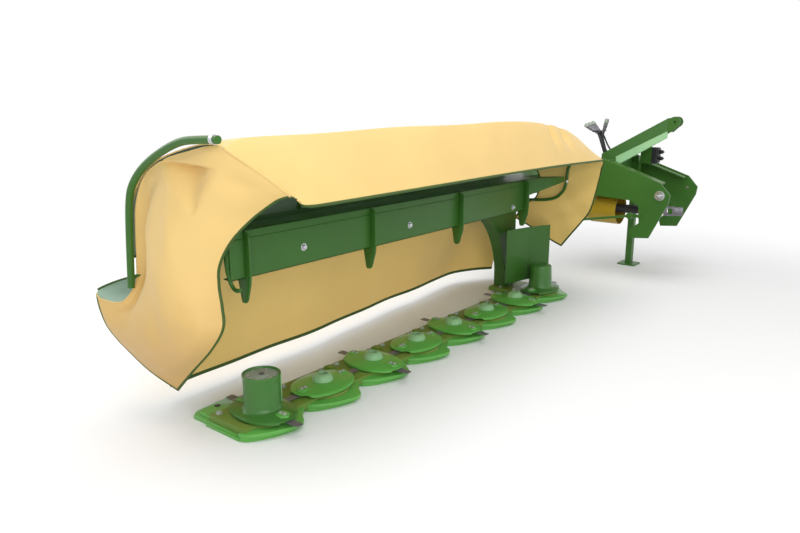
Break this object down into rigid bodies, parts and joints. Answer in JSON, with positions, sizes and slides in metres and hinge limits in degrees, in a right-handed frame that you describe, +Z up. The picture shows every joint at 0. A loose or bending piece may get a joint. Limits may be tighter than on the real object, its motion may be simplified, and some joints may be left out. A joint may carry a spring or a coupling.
{
  "type": "disc mower",
  "caption": "Rear-mounted disc mower for a three-point linkage, with its cloth hood folded up over the rotors, a side fold, a parking stand and a guarded drive shaft.",
  "frame": {"origin": "on the ground under the middle of the parked machine", "axes": "+X forward, the way the machine travels, +Y along the cutter bar towards the tractor, +Z up"},
  "size_m": [1.5879, 5.31, 1.4794],
  "materials": {
    "green_metal": "satin paint",
    "cream_cloth": "coated cloth",
    "worn_steel": "worn bare steel",
    "steel": "plated",
    "chrome": "polished",
    "dark_metal": "dark satin",
    "black_plastic": "moulded",
    "yellow_plastic": "moulded"
  },
  "bodies": {
    "headstock": {"headstock": "green_metal", "hitch_plates": "green_metal", "mast": "green_metal", "hitch_pins": "steel", "swing_pin": "steel", "valve_block": "dark_metal", "hose_holder": "dark_metal", "break_strut": "green_metal"},
    "stand": {"parking_stand": "green_metal"},
    "arm": {"arm_frame": "green_metal", "drive_gearbox": "dark_metal", "drive_case": "green_metal", "shaft_cup": "yellow_plastic", "shaft_guard": "black_plastic"},
    "pto": {"pto_shaft": "worn_steel"},
    "mower": {"carrier_beam": "green_metal", "fold_pin": "steel", "guard_sheet": "green_metal", "inner_post": "green_metal", "post_shield": "green_metal", "cutter_bar": "green_metal", "skids": "worn_steel", "hood_brackets": "green_metal", "rear_curtain": "cream_cloth"},
    "hood": {"hood_frame": "green_metal", "hood_cover": "cream_cloth", "outer_side_cloth": "cream_cloth", "inner_side_cloth": "cream_cloth"},
    "lift_barrel": {"lift_barrel": "green_metal"},
    "lift_rod": {"lift_rod": "chrome"},
    "rotor_1": {"drum_1": "green_metal", "blades_1": "worn_steel"},
    "rotor_2": {"disc_2": "green_metal", "blades_2": "worn_steel"},
    "rotor_3": {"disc_3": "green_metal", "blades_3": "worn_steel"},
    "rotor_4": {"disc_4": "green_metal", "blades_4": "worn_steel"},
    "rotor_5": {"disc_5": "green_metal", "blades_5": "worn_steel"},
    "rotor_6": {"disc_6": "green_metal", "blades_6": "worn_steel"},
    "rotor_7": {"disc_7": "green_metal", "blades_7": "worn_steel"},
    "rotor_8": {"drum_8": "green_metal", "blades_8": "worn_steel"}
  },
  "joints": [
    {"name": "break_away", "type": "hinge", "parent": "headstock", "child": "arm", "pos_m": [-0.05, 2, 0.95], "axis": [0, 0, -1], "range_deg": [0, 14]},
    {"name": "fold", "type": "hinge", "parent": "arm", "child": "mower", "pos_m": [-0.23, 1.47, 1], "axis": [-1, 0, 0], "range_deg": [-15, 95]},
    {"name": "hood_tilt", "type": "hinge", "parent": "mower", "child": "hood", "pos_m": [-0.38, -0.7, 0.9], "axis": [0, 1, 0], "range_deg": [0, 45]},
    {"name": "stand_slide", "type": "slide", "parent": "headstock", "child": "stand", "axis": [0, 0, 1], "range_m": [0, 0.35]},
    {"name": "barrel_swing", "type": "hinge", "parent": "arm", "child": "lift_barrel", "pos_m": [-0.38, 2.37, 1.05], "axis": [-1, 0, 0], "range_deg": [-9, 2]},
    {"name": "lift_stroke", "type": "slide", "parent": "lift_barrel", "child": "lift_rod", "axis": [0, -0.9897, 0.1429], "range_m": [-0.29, 0.05]},
    {"name": "rotor_1_spin", "type": "hinge", "parent": "mower", "child": "rotor_1", "pos_m": [0.09, -2.26, 0.06], "axis": [0, 0, 1], "continuous": true},
    {"name": "rotor_2_spin", "type": "hinge", "parent": "mower", "child": "rotor_2", "pos_m": [0.09, -1.83, 0.06], "axis": [0, 0, 1], "continuous": true},
    {"name": "rotor_3_spin", "type": "hinge", "parent": "mower", "child": "rotor_3", "pos_m": [0.09, -1.4, 0.06], "axis": [0, 0, 1], "continuous": true},
    {"name": "rotor_4_spin", "type": "hinge", "parent": "mower", "child": "rotor_4", "pos_m": [0.09, -0.97, 0.06], "axis": [0, 0, 1], "continuous": true},
    {"name": "rotor_5_spin", "type": "hinge", "parent": "mower", "child": "rotor_5", "pos_m": [0.09, -0.54, 0.06], "axis": [0, 0, 1], "continuous": true},
    {"name": "rotor_6_spin", "type": "hinge", "parent": "mower", "child": "rotor_6", "pos_m": [0.09, -0.11, 0.06], "axis": [0, 0, 1], "continuous": true},
    {"name": "rotor_7_spin", "type": "hinge", "parent": "mower", "child": "rotor_7", "pos_m": [0.09, 0.32, 0.06], "axis": [0, 0, 1], "continuous": true},
    {"name": "rotor_8_spin", "type": "hinge", "parent": "mower", "child": "rotor_8", "pos_m": [0.09, 0.75, 0.06], "axis": [0, 0, 1], "continuous": true},
    {"name": "shaft_spin", "type": "hinge", "parent": "arm", "child": "pto", "pos_m": [0.06, 1.95, 0.62], "axis": [0.9643, 0.265, 0], "continuous": true}
  ],
  "couplings": [
    {"joint": "barrel_swing", "follows": "fold", "ratio": -0.0837},
    {"joint": "lift_stroke", "follows": "fold", "m_per_rad": -0.1661},
    {"joint": "rotor_2_spin", "follows": "rotor_1_spin", "ratio": -1},
    {"joint": "rotor_3_spin", "follows": "rotor_1_spin", "ratio": 1},
    {"joint": "rotor_4_spin", "follows": "rotor_1_spin", "ratio": -1},
    {"joint": "rotor_5_spin", "follows": "rotor_1_spin", "ratio": 1},
    {"joint": "rotor_6_spin", "follows": "rotor_1_spin", "ratio": -1},
    {"joint": "rotor_7_spin", "follows": "rotor_1_spin", "ratio": 1},
    {"joint": "rotor_8_spin", "follows": "rotor_1_spin", "ratio": -1},
    {"joint": "shaft_spin", "follows": "rotor_1_spin", "ratio": 0.3333}
  ]
}
